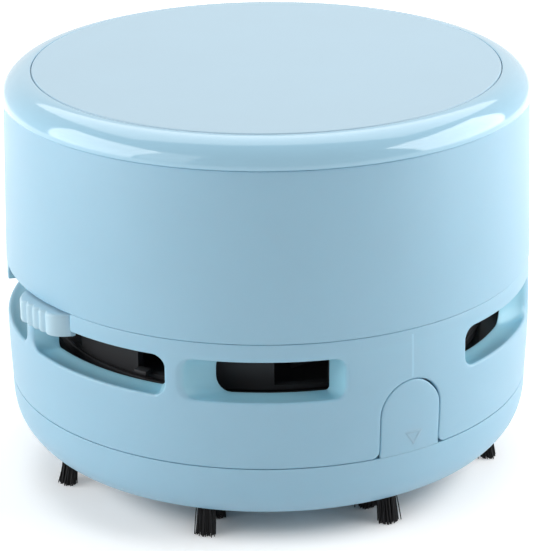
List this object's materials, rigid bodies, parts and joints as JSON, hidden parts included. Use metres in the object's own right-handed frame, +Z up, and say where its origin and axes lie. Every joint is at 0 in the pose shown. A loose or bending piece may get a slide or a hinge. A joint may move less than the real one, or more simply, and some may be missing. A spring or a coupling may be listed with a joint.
{
  "type": "desktop mini vacuum cleaner",
  "caption": "Round battery desk vacuum: domed cover over a vented body with a rim slide switch, on a drop-off dust base with a press tab and bristle tufts.",
  "frame": {"origin": "on the floor under the middle of the round body, at the bristle tips", "axes": "+Z up along the fan's axis; -Y towards the front of the picture; +X to its right"},
  "size_m": [0.0802, 0.0802, 0.0609],
  "materials": {
    "satin_blue": "satin light blue ABS",
    "gloss_blue": "polished light blue ABS",
    "matt_blue": "fine matt light blue ABS",
    "pale_blue": "semi-gloss pale blue, slightly milky",
    "black_plastic": "black moulded plastic",
    "white_plastic": "white moulded nylon",
    "black_nylon": "black nylon filament",
    "filter_felt": "off-white felt",
    "zinc_steel": "zinc plated",
    "motor_case": "plated can",
    "nickel": "nickel plated spring strip",
    "copper": "bright copper alloy",
    "cell_sleeve": "dark green plastic sleeve",
    "red_insulation": "red PVC",
    "black_insulation": "black PVC"
  },
  "bodies": {
    "base": {"base_tray": "satin_blue", "filter_frame": "black_plastic", "filter_pad": "filter_felt", "bristle_row_1": "black_nylon", "bristle_row_2": "black_nylon", "bristle_row_3": "black_nylon", "bristle_row_4": "black_nylon", "bristle_row_5": "black_nylon", "bristle_row_6": "black_nylon", "bristle_row_7": "black_nylon", "bristle_row_8": "black_nylon"},
    "tab": {"release_tab": "satin_blue"},
    "main_body": {"mid_body": "satin_blue", "fan_housing": "black_plastic", "eye_plate": "black_plastic", "battery_deck": "black_plastic", "motor_can": "motor_case", "motor_cap": "white_plastic", "motor_terminal_front": "copper", "motor_terminal_rear": "copper", "battery_cell_left": "cell_sleeve", "battery_cell_right": "cell_sleeve", "contact_bridge": "nickel", "contact_feed": "nickel", "contact_return": "nickel", "battery_spring_left": "nickel", "battery_spring_right": "nickel", "switch_strip_feed": "copper", "switch_strip_motor": "copper", "chassis_screw_1": "zinc_steel", "chassis_screw_2": "zinc_steel", "chassis_screw_3": "zinc_steel", "lead_feed": "red_insulation", "lead_switched": "red_insulation", "lead_return": "black_insulation"},
    "switch": {"switch_knob": "pale_blue", "switch_wiper": "copper"},
    "fan": {"impeller": "black_plastic", "motor_shaft": "zinc_steel"},
    "cover": {"upper_shell": "satin_blue", "gloss_ring": "gloss_blue", "top_disc": "matt_blue"}
  },
  "joints": [
    {"name": "body_lift", "type": "slide", "parent": "base", "child": "main_body", "axis": [0, 0, 1], "range_m": [0, 0.025]},
    {"name": "tab_press", "type": "hinge", "parent": "base", "child": "tab", "pos_m": [0.02006, -0.03447, 0.0131], "axis": [-0.8643, -0.503, 0], "range_deg": [0, 5], "stiffness_Nm_per_rad": 0.6},
    {"name": "cover_lift", "type": "slide", "parent": "main_body", "child": "cover", "axis": [0, 0, 1], "range_m": [0, 0.035]},
    {"name": "switch_slide", "type": "hinge", "parent": "main_body", "child": "switch", "pos_m": [0, 0, 0.03], "axis": [0, 0, -1], "range_deg": [0, 14.5]},
    {"name": "fan_spin", "type": "hinge", "parent": "main_body", "child": "fan", "pos_m": [0, 0, 0.026], "axis": [0, 0, 1], "continuous": true}
  ]
}
